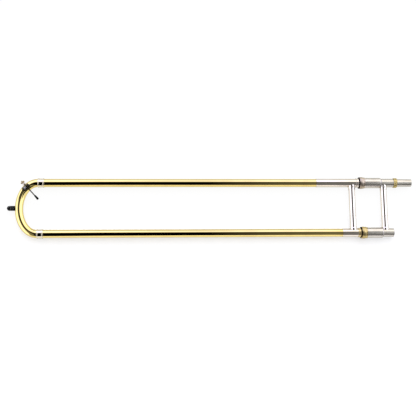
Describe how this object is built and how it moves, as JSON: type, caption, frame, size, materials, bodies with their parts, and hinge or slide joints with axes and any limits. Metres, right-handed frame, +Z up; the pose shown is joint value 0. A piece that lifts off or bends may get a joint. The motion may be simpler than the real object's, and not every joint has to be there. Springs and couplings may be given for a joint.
{
  "type": "trombone hand slide",
  "caption": "Tenor trombone hand slide: brass outer slide with bow, bumper and water key, running on inner tubes that carry barrels, a lock ring, braces, receiver and bell tenon.",
  "frame": {"origin": "middle of the closed slide's length and width, on the surface that it lies on", "axes": "+X along the tubes from the bow to the mouthpiece and bell ends, +Y from the mouthpiece-side tube to the bell-side tube, +Z up"},
  "size_m": [0.7764, 0.1207, 0.0265],
  "materials": {
    "brass": "polished and lacquered",
    "nickel_silver": "polished nickel silver",
    "chrome_plate": "mirror-bright plating",
    "steel": "fine turned",
    "rubber": "satin black",
    "cork": "bare cork"
  },
  "bodies": {
    "inner_slide": {"inner_tube_bell_side": "chrome_plate", "inner_tube_mouthpiece_side": "chrome_plate", "stocking_bell_side": "chrome_plate", "stocking_mouthpiece_side": "chrome_plate", "cork_barrel_bell_side": "nickel_silver", "cork_barrel_mouthpiece_side": "nickel_silver", "barrel_rim_bell_side": "nickel_silver", "cork_bell_side": "cork", "cork_mouthpiece_side": "cork", "mouthpiece_receiver": "nickel_silver", "leadpipe": "nickel_silver", "bell_neck": "nickel_silver", "bell_thread_ring": "brass", "bell_tenon": "nickel_silver", "inner_brace_tube_bell_side": "nickel_silver", "inner_brace_tube_mouthpiece_side": "nickel_silver", "inner_brace_flange_bell_side": "nickel_silver", "inner_brace_flange_mouthpiece_side": "nickel_silver"},
    "outer_slide": {"outer_tube_bell_side": "brass", "outer_tube_mouthpiece_side": "brass", "oversleeve_bell_side": "nickel_silver", "oversleeve_mouthpiece_side": "nickel_silver", "end_ring_bell_side": "nickel_silver", "end_ring_mouthpiece_side": "brass", "lock_lug": "brass", "outer_brace_tube_bell_side": "nickel_silver", "outer_brace_tube_mouthpiece_side": "nickel_silver", "outer_brace_flange_bell_side": "nickel_silver", "outer_brace_flange_mouthpiece_side": "nickel_silver", "bow_ferrule_bell_side": "nickel_silver", "bow_ferrule_mouthpiece_side": "nickel_silver", "slide_bow": "brass", "bumper_stud": "brass", "rubber_bumper": "rubber", "water_key_nipple": "nickel_silver", "water_key_saddle": "nickel_silver", "water_key_screw": "steel", "water_key_spring": "steel"},
    "water_key": {"water_key_lever": "nickel_silver", "water_key_cork": "cork", "water_key_touch": "rubber"},
    "slide_lock": {"slide_lock_ring": "brass", "slide_lock_screw": "steel"}
  },
  "joints": [
    {"name": "hand_slide", "type": "slide", "parent": "inner_slide", "child": "outer_slide", "axis": [-1, 0, 0], "range_m": [0, 0.57]},
    {"name": "water_key_hinge", "type": "hinge", "parent": "outer_slide", "child": "water_key", "pos_m": [-0.3524, 0.03868, 0.0239], "axis": [0.7404, 0.6721, 0], "range_deg": [0, 20], "stiffness_Nm_per_rad": 0.05, "springref_deg": -20.05, "deforming": ["water_key_spring"]},
    {"name": "lock_turn", "type": "hinge", "parent": "inner_slide", "child": "slide_lock", "pos_m": [0.28885, -0.04875, 0.0115], "axis": [1, 0, 0], "range_deg": [0, 30]}
  ]
}
